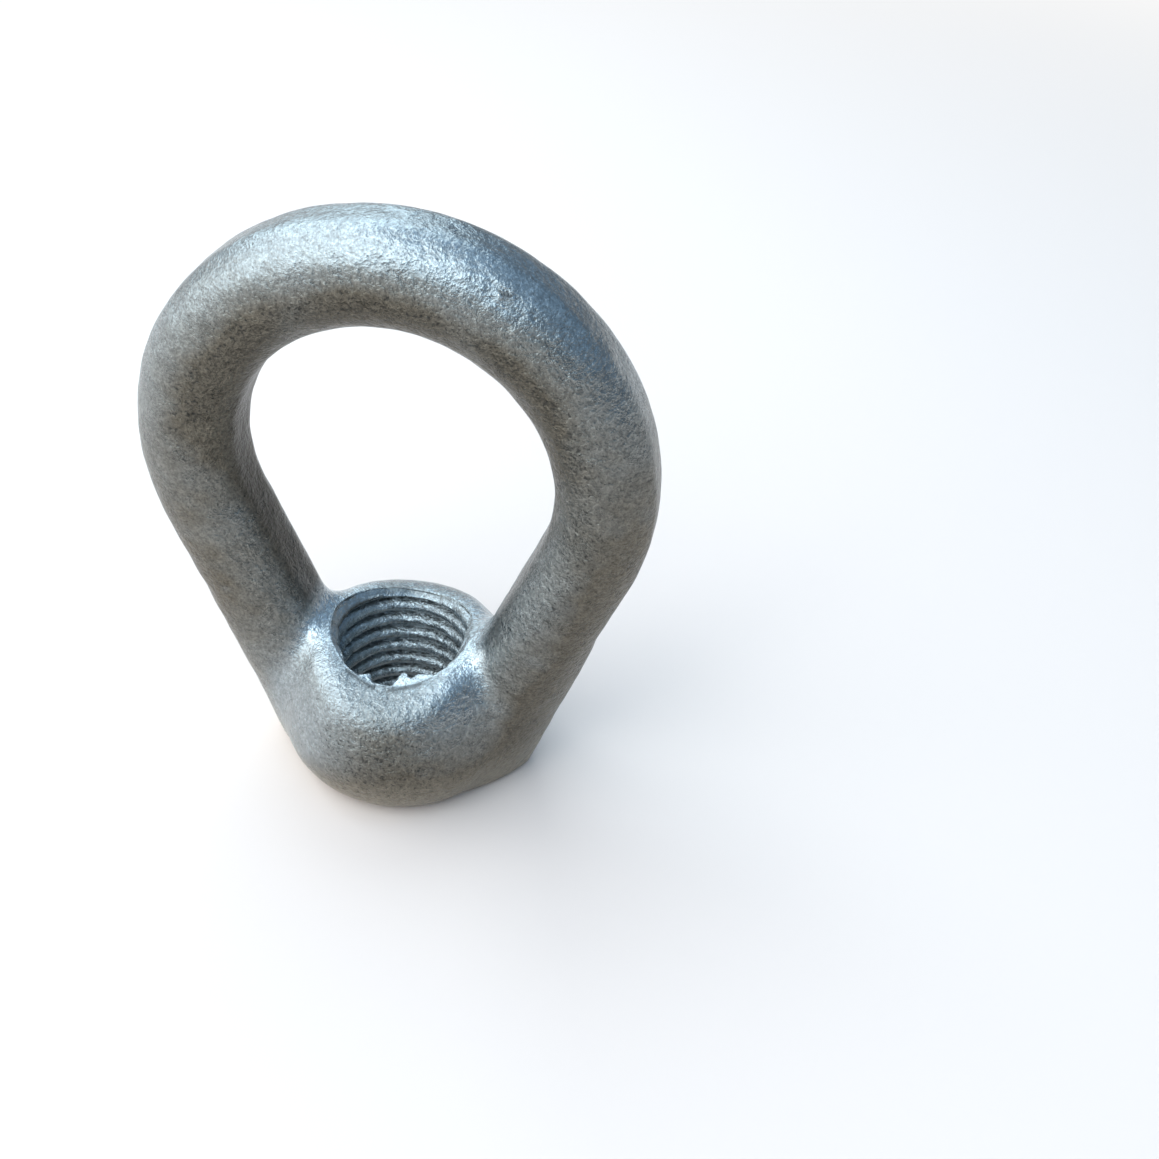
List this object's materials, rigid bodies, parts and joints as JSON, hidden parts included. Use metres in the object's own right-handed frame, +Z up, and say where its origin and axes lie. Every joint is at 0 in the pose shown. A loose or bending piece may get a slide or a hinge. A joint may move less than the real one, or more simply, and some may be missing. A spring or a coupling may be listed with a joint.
{
  "type": "lifting eye nut",
  "caption": "Forged, galvanised lifting eye nut: an oval eye of round bar on a round hub with a threaded through bore and a flat base.",
  "frame": {"origin": "centre of the flat base face, on the axis of the threaded bore", "axes": "+Z up along the bore's axis into the eye, +X across the eye in the forging's parting plane, +Y through the eye"},
  "size_m": [0.0638, 0.0332, 0.0786],
  "materials": {
    "galvanised_steel": "hot-dip galvanised, satin, fine-grained"
  },
  "bodies": {
    "root": {"eye_nut": "galvanised_steel"}
  },
  "joints": []
}
